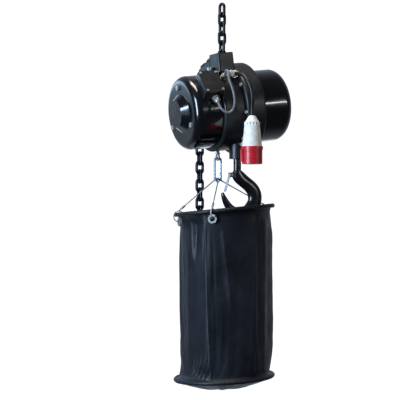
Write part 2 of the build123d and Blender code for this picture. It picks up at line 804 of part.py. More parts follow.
def carabiner():
    """A steel snap ring in the X-Z plane, open on its right side for the gate."""
    bow = (carabiner_width - carabiner_wire) / 2
    straight = carabiner_height - carabiner_width
    half_space = Box(80, 80, 40, align=(Align.CENTER, Align.CENTER, Align.MIN))
    top_bend = (Rot(90, 0, 0) * Torus(bow, carabiner_wire / 2)) & half_space
    ring = Pos(0, 0, straight / 2) * top_bend + Pos(0, 0, -straight / 2) * Rot(180, 0, 0) * top_bend
    ring += Pos(-bow, 0, 0) * Cylinder(carabiner_wire / 2, straight)
    upper = (straight - gate_length) / 2 - part_gap
    stub = Cylinder(carabiner_wire / 2, upper, align=(Align.CENTER, Align.CENTER, Align.MAX))
    ring += Pos(bow, 0, straight / 2) * stub + Pos(bow, 0, -straight / 2 + upper) * stub
    return Pos(eye_x, eye_y, carabiner_middle_z()) * ring


def carabiner_gate():
    """The sprung bar of the snap ring, with a round knuckle at its lower end to turn on."""
    bow = (carabiner_width - carabiner_wire) / 2
    radius = carabiner_wire / 2 - 0.5
    bar = Cylinder(radius, gate_length - 2 * radius)
    knuckle = Pos(0, 0, -gate_length / 2 + radius) * Rot(90, 0, 0) * Cylinder(radius, 2 * radius)
    tip = Pos(0, 0, gate_length / 2 - radius) * Sphere(radius)
    return Pos(eye_x + bow, eye_y, carabiner_middle_z()) * (bar + knuckle + tip)


def grommet_point(degrees, drop=grommet_drop):
    """The middle of a grommet, on the bag's wall below its tilted rim."""
    angle = math.radians(degrees)
    x = bag_x + bag_radius * math.cos(angle)
    y = bag_y + bag_radius * math.sin(angle)
    along_view = (x - bag_x) * math.cos(math.radians(bag_view_turn)) - (y - bag_y) * math.sin(
        math.radians(bag_view_turn))
    z = bag_top_z + along_view * math.tan(math.radians(top_hoop_tilt)) - drop
    return (x, y, z)


def wire_top(turn):
    """Where a wire's upper loop sits on the carabiner's lower bow."""
    angle = math.radians(turn)
    bow = (carabiner_width - carabiner_wire) / 2
    middle_z = carabiner_middle_z() - (carabiner_height - carabiner_width) / 2
    return (eye_x + bow * math.sin(angle), eye_y, middle_z - bow * math.cos(angle))


def wire_start(turn):
    """Where a wire leaves its upper loop."""
    angle = math.radians(turn)
    x, y, z = wire_top(turn)
    return (x + wire_loop_radius * math.sin(angle), y, z - wire_loop_radius * math.cos(angle))


def rim_loop_point(degrees):
    """The point just outside the wall where a wire's lower loop is spliced."""
    angle = math.radians(degrees)
    x, y, z = grommet_point(degrees, grommet_drop - 2 * wire_eye_radius)
    return (x + 2 * math.cos(angle), y + 2 * math.sin(angle), z)


def bag_wires():
    """Three galvanised wires from the carabiner to the bag's grommets."""
    wires = []
    for turn, degrees in zip(wire_fan, grommet_turns):
        angle = math.radians(turn)
        top = wire_top(turn)
        facing = Plane(origin=top, z_dir=(math.cos(angle), 0, math.sin(angle)))
        loop = facing * Torus(wire_loop_radius, wire_rope / 2)
        splice = rim_loop_point(degrees)
        wire = loop + rod_between(wire_start(turn), splice, wire_rope / 2)
        hole = Vector(*grommet_point(degrees))
        middle = (Vector(*splice) + hole) * 0.5
        eye_size = (Vector(*splice) - hole).length / 2
        tangent = (-math.sin(math.radians(degrees)), math.cos(math.radians(degrees)), 0)
        wire += Plane(origin=middle, z_dir=tangent) * Torus(eye_size, wire_rope / 2)
        wires.append(wire)
    return wires


def wire_ferrules():
    """Pressed sleeves where each wire's lower loop is closed."""
    sleeves = []
    for turn, degrees in zip(wire_fan, grommet_turns):
        splice = Vector(*rim_loop_point(degrees))
        along = (Vector(*wire_start(turn)) - splice).normalized()
        start = splice + along * ferrule_start
        sleeve = Cylinder(ferrule_radius, ferrule_length, align=(Align.CENTER, Align.CENTER, Align.MIN))
        sleeve -= Cylinder(wire_rope / 2 + running_clearance, 3 * ferrule_length)
        sleeves.append(Plane(origin=start, z_dir=along) * sleeve)
    return sleeves


def grommets():
    rings = []
    for degrees in grommet_turns:
        angle = math.radians(degrees)
        out = Vector(math.cos(angle), math.sin(angle), 0)
        start = Vector(*grommet_point(degrees)) - out * 1.0
        ring = Cylinder(grommet_radius, bag_wall + 3) - Cylinder(grommet_hole, 4 * bag_wall)
        rings.append(Plane(origin=start, z_dir=out) * ring)
    return rings


# ---- the chain bag

def bag_hoop(z, tilt):
    hoop = Torus(bag_radius + hoop_outside_wall, hoop_wire / 2)
    return Pos(bag_x, bag_y, z) * Rot(0, 0, -bag_view_turn) * Rot(0, -tilt, 0) * hoop


def top_hoop():
    return bag_hoop(bag_top_z + 4, top_hoop_tilt)


def bottom_hoop():
    return bag_hoop(bag_bottom_z, bottom_hoop_tilt)


def bag_solid(radius, top_extra, bottom_extra, sag):
    """A tapered round bag between two tilted rims with a sagging floor."""
    top = Pos(bag_x, bag_y, bag_top_z + top_extra) * Rot(0, 0, -bag_view_turn) * Rot(0, -top_hoop_tilt, 0)
    bottom = Pos(bag_x, bag_y, bag_bottom_z + bottom_extra)
    bottom = bottom * Rot(0, 0, -bag_view_turn) * Rot(0, -bottom_hoop_tilt, 0)
    wall = loft([top * Circle(radius), bottom * Circle(radius)])
    cap_radius = (radius ** 2 + sag ** 2) / (2 * sag)
    cap = Pos(0, 0, cap_radius - sag) * Sphere(cap_radius)
    cap = cap & Box(3 * radius, 3 * radius, 2 * sag, align=(Align.CENTER, Align.CENTER, Align.MAX))
    return wall + bottom * cap


def chain_bag():
    outer = bag_solid(bag_radius, 0.0, 0.0, bag_sag)
    inner = bag_solid(bag_radius - bag_wall, 20.0, bag_wall, bag_sag - 1)
    bag = outer - inner
    for degrees in grommet_turns:
        angle = math.radians(degrees)
        hole = Plane(origin=grommet_point(degrees), z_dir=(math.cos(angle), math.sin(angle), 0))
        bag -= hole * Cylinder(grommet_radius + 0.1, 40)
    return bag


def chain_heap():
    """The slack chain piled in the bag, as one low mound on the sagging floor."""
    mound = Cone(heap_radius, heap_radius * 0.4, heap_height, align=(Align.CENTER, Align.CENTER, Align.MIN))
    return Pos(bag_x, bag_y, bag_bottom_z - 2) * mound


def hoist_parts():
    """Every node of the hoist by name."""
    return {
        "load_chain": load_chain(),
        "slack_chain": slack_chain(),
        "motor_cover": tilted(motor_cover()),
        "gear_cover": tilted(gear_cover()),
        "casing_frame": casing_frame(),
        "gear_case": gear_case(),
        "guide_block": guide_block(),
        "chain_chute": chain_chute(),
        "stator_core": stator_core(),
        "stator_windings": stator_windings(),
        "rotor_core": rotor_core(),
        "motor_shaft": motor_shaft(),
        "motor_pinion": motor_pinion(),
        "motor_bearing": motor_bearing(),
        "brake_coil": brake_coil(),
        "brake_plate": brake_plate(),
        "brake_disc": brake_disc(),
        "lay_shaft": lay_shaft(),
        "lay_gear": lay_gear(),
        "lay_pinion": lay_pinion(),
        "lay_bearings": lay_bearings(),
        "lift_wheel": lift_wheel(),
        "wheel_shaft": wheel_shaft(),
        "output_gear": output_gear(),
        "wheel_bearings": wheel_bearings(),
        "cover_screws": cover_screws(),
        "casing_bolts": casing_bolts(),
        "spare_fittings": spare_fittings(),
        "junction_box": junction_box(),
        "junction_lid": junction_lid(),
        "lid_screws": lid_screws(),
        "terminal_block": terminal_block(),
        "control_glands": control_glands(),
        "power_gland": power_gland(),
        "control_cable": cord_tube("control_cable", control_route, control_cable_diameter),
        "power_cable": cord_tube("power_cable", power_route, power_cable_diameter),
        "plug_nut": plug_nut(),
        "plug_body": plug_body(),
        "plug_collar": plug_collar(),
        "plug_pins": plug_pins(),
        "hook_yoke": hook_yoke(),
        "hook_pin": hook_pin(),
        "thrust_bearing": thrust_bearing(),
        "hook_nut": hook_nut(),
        "hook": hook(),
        "latch_pin": latch_pin(),
        "hook_latch": hook_latch(),
        "bag_eye": bag_eye(),
        "carabiner": carabiner(),
        "carabiner_gate": carabiner_gate(),
        "bag_wires": bag_wires(),
        "wire_ferrules": wire_ferrules(),
        "grommets": grommets(),
        "top_hoop": top_hoop(),
        "bottom_hoop": bottom_hoop(),
        "chain_bag": chain_bag(),
        "chain_heap": chain_heap(),
    }


os.makedirs("parts", exist_ok=True)
for node, shape in hoist_parts().items():
    if isinstance(shape, list):
        shape = Compound(children=[piece for part in shape for piece in part.solids()])
    export_step(shape, f"parts/{node}.step")
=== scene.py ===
import json
import math
import random

import bmesh
import bpy
from mathutils import Matrix, Vector, noise


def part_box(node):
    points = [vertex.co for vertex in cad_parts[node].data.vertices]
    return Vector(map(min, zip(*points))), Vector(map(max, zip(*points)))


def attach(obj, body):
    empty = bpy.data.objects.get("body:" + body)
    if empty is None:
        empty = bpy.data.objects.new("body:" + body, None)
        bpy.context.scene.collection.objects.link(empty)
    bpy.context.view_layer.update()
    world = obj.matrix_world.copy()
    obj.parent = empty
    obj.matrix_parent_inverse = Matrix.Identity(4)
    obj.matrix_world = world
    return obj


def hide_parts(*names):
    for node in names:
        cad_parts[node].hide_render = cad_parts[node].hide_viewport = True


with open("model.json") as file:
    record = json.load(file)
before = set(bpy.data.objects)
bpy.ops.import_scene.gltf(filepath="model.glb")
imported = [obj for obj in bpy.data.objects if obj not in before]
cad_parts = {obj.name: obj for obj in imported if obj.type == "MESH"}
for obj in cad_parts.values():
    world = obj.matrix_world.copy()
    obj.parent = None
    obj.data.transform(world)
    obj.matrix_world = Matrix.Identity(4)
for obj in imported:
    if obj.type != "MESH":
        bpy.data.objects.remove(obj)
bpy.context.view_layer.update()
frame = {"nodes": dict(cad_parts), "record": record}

mm = 0.001
scene = bpy.context.scene
cadNodes = frame["nodes"]


def toVector(point):
    return Vector(point) * mm


def linkObject(name, data):
    made = bpy.data.objects.new(name, data)
    scene.collection.objects.link(made)
    return made


# camera: eye level with the bag's rim, turned so the motor cover faces it
cameraSet = {"azimuth": -25.0, "distance": 3.1, "eyeHeight": -0.529, "aimHeight": -0.500,
             "aimSide": -0.0565, "frameWidth": 1.027}


def addCamera(values):
    turn = math.radians(values["azimuth"])
    right = Vector((math.cos(turn), math.sin(turn), 0))
    toward = Vector((math.sin(turn), -math.cos(turn), 0))
    aim = right * values["aimSide"] + Vector((0, 0, values["aimHeight"]))
    eye = aim + toward * values["distance"]
    eye.z = values["eyeHeight"]
    data = bpy.data.cameras.new("camera")
    data.sensor_width = 36
    data.lens = 36 * values["distance"] / values["frameWidth"]
    data.clip_end = 50
    made = linkObject("camera", data)
    made.location = eye
    made.rotation_euler = (aim - eye).to_track_quat("-Z", "Y").to_euler()
    scene.camera = made


addCamera(cameraSet)


# the lead to the plug: the same route as the CAD cord
powerLead = {"diameter": 10.0, "points": [
    (12.0, -58.0, -181.0), (13.0, -75.0, -182.0), (16.0, -93.0, -189.0), (21.0, -107.0, -204.0),
    (26.0, -114.0, -224.0), (29.0, -115.0, -246.0), (31.0, -108.0, -267.0), (31.0, -108.0, -290.0)]}


def cordCurve(name, points, diameter):
    curve = bpy.data.curves.new(name, "CURVE")
    curve.dimensions = "3D"
    curve.bevel_depth = diameter / 2 * mm
    curve.bevel_resolution = 6
    curve.resolution_u = 12
    curve.use_fill_caps = True
    spline = curve.splines.new("NURBS")
    spline.points.add(len(points) - 1)
    for place, point in zip(spline.points, points):
        place.co = (*toVector(point), 1)
    spline.order_u = 3
    spline.use_endpoint_u = True
    return linkObject(name, curve)


powerCord = cordCurve("powerCord", powerLead["points"], powerLead["diameter"])
print("camera and cord placed")


# materials
def hexColor(code):
    parts = [int(code[i:i + 2], 16) / 255 for i in (1, 3, 5)]
    return tuple(p / 12.92 if p <= 0.04045 else ((p + 0.055) / 1.055) ** 2.4 for p in parts) + (1.0,)


def addNode(tree, kind, settings=None, links=None):
    node = tree.nodes.new(kind)
    for key, value in (settings or {}).items():
        if isinstance(key, int) or key in node.inputs:
            node.inputs[key].default_value = value
        else:
            setattr(node, key, value)
    for key, source in (links or {}).items():
        tree.links.new(source, node.inputs[key])
    return node


def startMaterial(name, color, roughness, metallic=0.0, **more):
    material = bpy.data.materials.new(name)
    material.use_nodes = True
    material.diffuse_color = hexColor(color)
    shader = material.node_tree.nodes["Principled BSDF"]
    shader.inputs["Base Color"].default_value = hexColor(color)
    shader.inputs["Roughness"].default_value = roughness
    shader.inputs["Metallic"].default_value = metallic
    for key, value in more.items():
        shader.inputs[key.replace("_", " ")].default_value = value
    return material, material.node_tree, shader


def objectPlace(tree, stretch=(1, 1, 1)):
    place = addNode(tree, "ShaderNodeTexCoord")
    return addNode(tree, "ShaderNodeMapping", {"Scale": stretch}, {"Vector": place.outputs["Object"]})


def noiseAt(tree, place, sizeMm, detail=3.0):
    return addNode(tree, "ShaderNodeTexNoise", {"Scale": 1000.0 / sizeMm, "Detail": detail},
                   {"Vector": place.outputs[0]})


def ramp(tree, source, low, high, colors):
    made = addNode(tree, "ShaderNodeValToRGB", None, {"Fac": source})
    made.color_ramp.elements[0].position = low
    made.color_ramp.elements[1].position = high
    made.color_ramp.elements[0].color = colors[0]
    made.color_ramp.elements[1].color = colors[1]
    return made


def grey(value):
    return (value, value, value, 1.0)


def colorFrom(tree, shader, source, low, high, first, second):
    made = ramp(tree, source, low, high, (hexColor(first), hexColor(second)))
    tree.links.new(made.outputs["Color"], shader.inputs["Base Color"])


def roughnessFrom(tree, shader, source, low, high, first, second):
    made = ramp(tree, source, low, high, (grey(first), grey(second)))
    tree.links.new(made.outputs["Color"], shader.inputs["Roughness"])


def bumpFrom(tree, shader, source, strength, depthMm, before=None):
    links = {"Height": source}
    if before:
        links["Normal"] = before.outputs["Normal"]
    made = addNode(tree, "ShaderNodeBump", {"Strength": strength, "Distance": depthMm * mm}, links)
    tree.links.new(made.outputs["Normal"], shader.inputs["Normal"])
    return made


def glossPaint():
    # black stove enamel on pressed steel: mirror-like, with a faint orange peel
    material, tree, shader = startMaterial("glossBlackEnamel", "#0b0c0f", 0.16, Coat_Weight=0.7, Coat_Roughness=0.04)
    place = objectPlace(tree)
    peel = noiseAt(tree, place, 5.0, 1.0)
    smudge = noiseAt(tree, place, 60.0, 4.0)
    roughnessFrom(tree, shader, smudge.outputs["Fac"], 0.35, 0.75, 0.12, 0.26)
    bumpFrom(tree, shader, peel.outputs["Fac"], 0.12, 0.12)
    return material


def satinCasting():
    # sand-cast aluminium under satin black paint: small pits and a broad soft sheen
    material, tree, shader = startMaterial("satinBlackCasting", "#17181b", 0.42)
    place = objectPlace(tree)
    grain = noiseAt(tree, place, 1.6, 3.0)
    patch = noiseAt(tree, place, 35.0, 3.0)
    colorFrom(tree, shader, patch.outputs["Fac"], 0.3, 0.7, "#121316", "#1e1f23")
    roughnessFrom(tree, shader, patch.outputs["Fac"], 0.3, 0.75, 0.34, 0.5)
    bumpFrom(tree, shader, grain.outputs["Fac"], 0.35, 0.25)
    return material


def chainSteel():
    # blackened hardened steel, oiled, rubbed brighter where the links bear
    material, tree, shader = startMaterial("blackenedChainSteel", "#26282d", 0.34, 0.75)
    place = objectPlace(tree)
    patch = noiseAt(tree, place, 9.0, 4.0)
    grain = noiseAt(tree, place, 1.2, 2.0)
    colorFrom(tree, shader, patch.outputs["Fac"], 0.35, 0.72, "#1b1c20", "#3a3c42")
    roughnessFrom(tree, shader, patch.outputs["Fac"], 0.3, 0.7, 0.26, 0.46)
    bumpFrom(tree, shader, grain.outputs["Fac"], 0.25, 0.15)
    return material


def forgedHook():
    # drop-forged steel with thick black lacquer: soft dents under a wet shine
    material, tree, shader = startMaterial("lacqueredForging", "#101114", 0.28, Coat_Weight=0.4, Coat_Roughness=0.12)
    place = objectPlace(tree)
    dents = noiseAt(tree, place, 7.0, 3.0)
    grain = noiseAt(tree, place, 1.3, 2.0)
    colorFrom(tree, shader, dents.outputs["Fac"], 0.35, 0.75, "#0d0e11", "#1a1c20")
    first = bumpFrom(tree, shader, dents.outputs["Fac"], 0.3, 0.8)
    bumpFrom(tree, shader, grain.outputs["Fac"], 0.2, 0.15, first)
    return material


def zincSteel(name, light, dark, roughness):
    # zinc plate: pale blue-grey metal with a fine spangle
    material, tree, shader = startMaterial(name, light, roughness, 0.55)
    place = objectPlace(tree)
    spangle = addNode(tree, "ShaderNodeTexVoronoi", {"Scale": 1000.0 / 3.0}, {"Vector": place.outputs[0]})
    grime = noiseAt(tree, place, 6.0, 4.0)
    colorFrom(tree, shader, grime.outputs["Fac"], 0.35, 0.65, dark, light)
    roughnessFrom(tree, shader, spangle.outputs["Distance"], 0.1, 0.9, roughness - 0.06, roughness + 0.12)
    bumpFrom(tree, shader, grime.outputs["Fac"], 0.15, 0.1)
    return material


def turnedSteel():
    # turned and ground bearing steel: fine rings round the shaft
    material, tree, shader = startMaterial("turnedSteel", "#9a9ca0", 0.3, 1.0)
    place = objectPlace(tree, (1, 0.05, 0.05))
    rings = noiseAt(tree, place, 0.8, 2.0)
    roughnessFrom(tree, shader, rings.outputs["Fac"], 0.3, 0.7, 0.2, 0.42)
    bumpFrom(tree, shader, rings.outputs["Fac"], 0.2, 0.05)
    return material


def mouldedPlastic(name, light, dark, roughness, coat=0.0):
    # injection-moulded thermoplastic: fine spark-eroded texture, slight handling marks
    material, tree, shader = startMaterial(name, light, roughness, Coat_Weight=coat)
    place = objectPlace(tree)
    texture = noiseAt(tree, place, 0.9, 2.0)
    scuff = noiseAt(tree, place, 14.0, 5.0)
    colorFrom(tree, shader, scuff.outputs["Fac"], 0.28, 0.6, dark, light)
    roughnessFrom(tree, shader, scuff.outputs["Fac"], 0.3, 0.7, roughness + 0.1, roughness)
    bumpFrom(tree, shader, texture.outputs["Fac"], 0.2, 0.08)
    return material


def rubberSheath(name, light, dark, roughness):
    # extruded cable sheath: satin, with faint marks along its length
    material, tree, shader = startMaterial(name, light, roughness)
    place = objectPlace(tree)
    marks = noiseAt(tree, place, 4.0, 4.0)
    colorFrom(tree, shader, marks.outputs["Fac"], 0.3, 0.65, dark, light)
    bumpFrom(tree, shader, marks.outputs["Fac"], 0.2, 0.15)
    return material


def coatedNylon():
    # polyurethane-coated nylon: plain weave, low blue-black sheen; the weave is
    # drawn at 1.6 mm, coarser than the real 0.4 mm thread, so that it shows
    material, tree, shader = startMaterial(
        "coatedNylonCloth", "#0a0d14", 0.46, Sheen_Weight=0.08, Sheen_Roughness=0.45,
        Sheen_Tint=hexColor("#5a6a88"))
    shader.inputs["Specular IOR Level"].default_value = 0.42
    cloth = addNode(tree, "ShaderNodeUVMap", {"uv_map": "clothMap"})
    threads = []
    for direction in ("X", "Y"):
        threads.append(addNode(
            tree, "ShaderNodeTexWave",
            {"bands_direction": direction, "Scale": 0.31416 / (1.6 * mm), "Distortion": 0.4, "Detail": 1.0},
            {"Vector": cloth.outputs["UV"]}))
    weave = addNode(tree, "ShaderNodeMath", {"operation": "MULTIPLY"},
                    {0: threads[0].outputs["Fac"], 1: threads[1].outputs["Fac"]})
    place = objectPlace(tree)
    patch = noiseAt(tree, place, 70.0, 5.0)
    rumple = noiseAt(tree, place, 9.0, 4.0)
    colorFrom(tree, shader, patch.outputs["Fac"], 0.3, 0.72, "#080b12", "#0f141f")
    roughnessFrom(tree, shader, patch.outputs["Fac"], 0.3, 0.7, 0.44, 0.6)
    first = bumpFrom(tree, shader, rumple.outputs["Fac"], 0.25, 1.2)
    bumpFrom(tree, shader, weave.outputs["Value"], 0.35, 0.18, first)
    return material


def plainMetal(name, color, roughness, metallic, grainMm):
    # the hidden working parts: laminations, lacquered copper, friction lining
    material, tree, shader = startMaterial(name, color, roughness, metallic)
    place = objectPlace(tree)
    grain = noiseAt(tree, place, grainMm, 4.0)
    roughnessFrom(tree, shader, grain.outputs["Fac"], 0.3, 0.7, max(roughness - 0.08, 0.05), roughness + 0.1)
    bumpFrom(tree, shader, grain.outputs["Fac"], 0.3, 0.15)
    return material


finishes = {
    "gloss_black_paint": glossPaint(),
    "satin_black_casting": satinCasting(),
    "blackened_chain": chainSteel(),
    "forged_black": forgedHook(),
    "galvanised_steel": zincSteel("zincPlatedSteel", "#d3d6d8", "#a0a4a8", 0.4),
    "nickel_plate": zincSteel("nickelPlatedBrass", "#d0cfc8", "#a9a8a0", 0.22),
    "machined_steel": turnedSteel(),
    "core_steel": plainMetal("siliconSteelLaminations", "#6c6e72", 0.45, 0.9, 1.0),
    "copper_winding": plainMetal("enamelledCopper", "#a4572c", 0.3, 0.8, 1.5),
    "brake_lining": plainMetal("mouldedFrictionLining", "#2d2924", 0.85, 0.0, 1.2),
    "box_black": mouldedPlastic("blackGlassFilledNylon", "#101114", "#0a0b0d", 0.3, 0.3),
    "moulded_grey": mouldedPlastic("greyMelamine", "#8a8a86", "#74746f", 0.5),
    "grey_cable": rubberSheath("greyPvcSheath", "#787b80", "#5e6166", 0.4),
    "black_rubber": rubberSheath("blackNeopreneSheath", "#141416", "#0c0c0e", 0.45),
    "plug_light_grey": mouldedPlastic("lightGreyPolyamide", "#f2f0e8", "#dad7cd", 0.42),
    "plug_red": mouldedPlastic("redPolyamide", "#d8222f", "#b81a26", 0.32, 0.2),
    "brass_pin": zincSteel("nickelPlatedPin", "#cdbf98", "#a89a70", 0.25),
    "bag_nylon": coatedNylon(),
}

slotOf = {part["node"]: part["material_slot"] for part in frame["record"]["subparts"]}
for nodeName, cadObject in cadNodes.items():
    cadObject.data.materials.clear()
    cadObject.data.materials.append(finishes[slotOf[nodeName]])
print("materials assigned")


# the thin grey lead from the junction box up to the casing
controlLead = {"diameter": 6.0, "points": [
    (-49.0, -77.5, -257.5), (-48.0, -86.0, -269.0), (-41.0, -92.0, -280.0), (-28.0, -95.0, -285.0),
    (-15.0, -95.0, -276.0), (-10.0, -94.0, -258.0), (-10.5, -91.0, -239.0), (-13.5, -87.0, -221.0),
    (-18.0, -82.0, -204.0), (-20.0, -77.0, -188.0), (-17.0, -69.0, -176.0), (-15.5, -58.0, -172.0),
    (-15.0, -47.0, -181.0)]}

controlCord = cordCurve("controlLead", controlLead["points"], controlLead["diameter"])
controlCord.data.materials.append(finishes["grey_cable"])
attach(controlCord, "hoist_body")
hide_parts("control_cable")

powerCord.data.materials.append(finishes["black_rubber"])
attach(powerCord, "hoist_body")
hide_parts("power_cable")


# what repeats along a line: one tree, its piece turned at every other place
def setSocket(modifier, tree, name, value):
    for item in tree.interface.items_tree:
        if item.item_type == "SOCKET" and item.in_out == "INPUT" and item.name == name:
            modifier[item.identifier] = value


def repeatTree():
    tree = bpy.data.node_groups.new("repeatAlong", "GeometryNodeTree")
    for name, kind in (("Path", "NodeSocketGeometry"), ("Spacing", "NodeSocketFloat"),
                       ("Piece", "NodeSocketObject"), ("Turn", "NodeSocketFloat"), ("Finish", "NodeSocketMaterial")):
        tree.interface.new_socket(name, in_out="INPUT", socket_type=kind)
    tree.interface.new_socket("Result", in_out="OUTPUT", socket_type="NodeSocketGeometry")
    given = addNode(tree, "NodeGroupInput")
    path = addNode(tree, "GeometryNodeResampleCurve", {"mode": "LENGTH"},
                   {"Curve": given.outputs["Path"], "Length": given.outputs["Spacing"]})
    points = addNode(tree, "GeometryNodeCurveToPoints", {"mode": "EVALUATED"}, {"Curve": path.outputs["Curve"]})
    piece = addNode(tree, "GeometryNodeObjectInfo", None, {"Object": given.outputs["Piece"]})
    placed = addNode(tree, "GeometryNodeInstanceOnPoints", None, {
        "Points": points.outputs["Points"], "Instance": piece.outputs["Geometry"],
        "Rotation": points.outputs["Rotation"]})
    count = addNode(tree, "GeometryNodeInputIndex")
    odd = addNode(tree, "ShaderNodeMath", {"operation": "MODULO", 1: 2.0}, {0: count.outputs["Index"]})
    angle = addNode(tree, "ShaderNodeMath", {"operation": "MULTIPLY"}, {0: odd.outputs[0], 1: given.outputs["Turn"]})
    spin = addNode(tree, "ShaderNodeCombineXYZ", None, {"Z": angle.outputs[0]})
    turned = addNode(tree, "GeometryNodeRotateInstances", None,
                     {"Instances": placed.outputs["Instances"], "Rotation": spin.outputs["Vector"]})
    real = addNode(tree, "GeometryNodeRealizeInstances", None, {"Geometry": turned.outputs["Instances"]})
    finish = addNode(tree, "GeometryNodeSetMaterial", None,
                     {"Geometry": real.outputs["Geometry"], "Material": given.outputs["Finish"]})
    addNode(tree, "NodeGroupOutput", None, {"Result": finish.outputs["Geometry"]})
    return tree


repeatAlong = repeatTree()


def lineCurve(name, points, closed=False):
    curve = bpy.data.curves.new(name, "CURVE")
    curve.dimensions = "3D"
    spline = curve.splines.new("POLY")
    spline.points.add(len(points) - 1)
    for place, point in zip(spline.points, points):
        place.co = (*point, 1)
    spline.use_cyclic_u = closed
    return linkObject(name, curve)


def repeated(name, lines, piece, spacing, turn, finish, closed=False):
    # one plain mesh holding the piece repeated along every line
    joined = bmesh.new()
    for line in lines:
        path = lineCurve(name + "Path", line, closed)
        modifier = path.modifiers.new("repeat", "NODES")
        modifier.node_group = repeatAlong
        for key, value in (("Spacing", spacing), ("Piece", piece), ("Turn", turn), ("Finish", finish)):
            setSocket(modifier, repeatAlong, key, value)
        path.update_tag()
        bpy.context.view_layer.update()
        graph = bpy.context.evaluated_depsgraph_get()
        made = bpy.data.meshes.new_from_object(path.evaluated_get(graph), depsgraph=graph)
        joined.from_mesh(made)
        bpy.data.objects.remove(path)
    data = bpy.data.meshes.new(name)
    joined.to_mesh(data)
    joined.free()
    data.materials.clear()
    data.materials.append(finish)
    return linkObject(name, data)


def tubeMesh(name, line, radius, sides, closed=False, squeeze=None):
    # a round tube of quads along a line of points, its ends closed
    made = bmesh.new()
    rings = []
    total = len(line)
    side = None
    for i, point in enumerate(line):
        before = line[i - 1] if closed or i > 0 else line[i]
        after = line[(i + 1) % total] if closed or i < total - 1 else line[i]
        along = (after - before).normalized()
        if side is None:
            side = along.orthogonal().normalized()
        side = (side - along * side.dot(along)).normalized()
        up = along.cross(side)
        size = radius * (squeeze(i / total) if squeeze else 1)
        rings.append([made.verts.new(point + (side * math.cos(a) + up * math.sin(a)) * size)
                      for a in (2 * math.pi * k / sides for k in range(sides))])
    pairs = list(zip(rings, rings[1:]))
    if closed:
        pairs.append((rings[-1], rings[0]))
    for first, second in pairs:
        for k in range(sides):
            made.faces.new((first[k], first[(k + 1) % sides], second[(k + 1) % sides], second[k]))
    if not closed:
        made.faces.new(list(reversed(rings[0])))
        made.faces.new(rings[-1])
    bmesh.ops.recalc_face_normals(made, faces=made.faces)
    data = bpy.data.meshes.new(name)
    made.to_mesh(data)
    made.free()
    for face in data.polygons:
        face.use_smooth = True
    return linkObject(name, data)


# the chain bag: one sheet of wall between two hoops, and a sagging floor
topLow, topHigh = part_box("top_hoop")
bottomLow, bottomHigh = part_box("bottom_hoop")
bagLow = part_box("chain_bag")[0]
bag = {
    "middle": (bottomLow + bottomHigh) / 2, "topZ": (topLow.z + topHigh.z) / 2,
    "bottomZ": (bottomLow.z + bottomHigh.z) / 2, "hoopRadius": (bottomHigh.y - bottomLow.y) / 2 - 4 * mm,
    "viewTurn": math.radians(25), "topTilt": math.radians(5.5), "bottomTilt": math.radians(3),
    "waist": 0.1155, "flare": 0.0115, "around": 264, "down": 118, "thick": 0.0012, "sleeve": 0.0055,
    "sag": 0.0}
bag["sag"] = bag["bottomZ"] - bagLow.z - 0.004
facing = math.radians(245)


def hoopHeight(angle, radius, which):
    lift = math.sin(bag[which + "Tilt"]) * math.cos(angle + bag["viewTurn"])
    return bag[which + "Z"] + radius * lift


def tent(value, left, right):
    # a sharp ridge of height 1 at zero, sloping away to each side
    reach = left if value < 0 else right
    return max(0.0, 1 - abs(value) / reach)


def softStep(value, low, high):
    t = min(1.0, max(0.0, (value - low) / (high - low)))
    return t * t * (3 - 2 * t)


ridges = [
    # place across the front in degrees at the top and bottom, height in mm, widths, first and last share of the drop
    (-26, -18.5, 4.0, 14, 9, 0.02, 1.0), (-6, 20, 3.2, 7, 9, 0.04, 0.62), (38, 33, 3.0, 20, 22, 0.1, 1.0),
    (62, 58, 4.0, 14, 16, 0.0, 0.9), (98, 95, 7.0, 24, 18, 0.05, 0.97), (150, 147, 6.0, 20, 26, 0.05, 0.97),
    (205, 212, 7.0, 22, 20, 0.04, 0.96), (258, 252, 5.0, 24, 16, 0.05, 0.95), (-62, -58, 3.0, 12, 10, 0.1, 0.9)]


# where the cloth is drawn into corners by the chain in it: degrees across the front at the top and at the bottom
corners = [(-100, -97), (-26, -18.5), (40, 36), (98, 95), (150, 147), (190, 190), (228, 226)]
flatness = 0.36  # 0 is a round wall, 1 is flat from corner to corner


def facetFactor(across, share):
    places = [top + (bottom - top) * share for top, bottom in corners]
    turned = (across - places[0]) % 360
    steps = [place - places[0] for place in places] + [360.0]
    for first, last in zip(steps, steps[1:]):
        if first <= turned <= last:
            half = math.radians(last - first) / 2
            middle = math.radians(turned - (first + last) / 2)
            return 1 - flatness * (1 - math.cos(half) / math.cos(middle))
    return 1.0


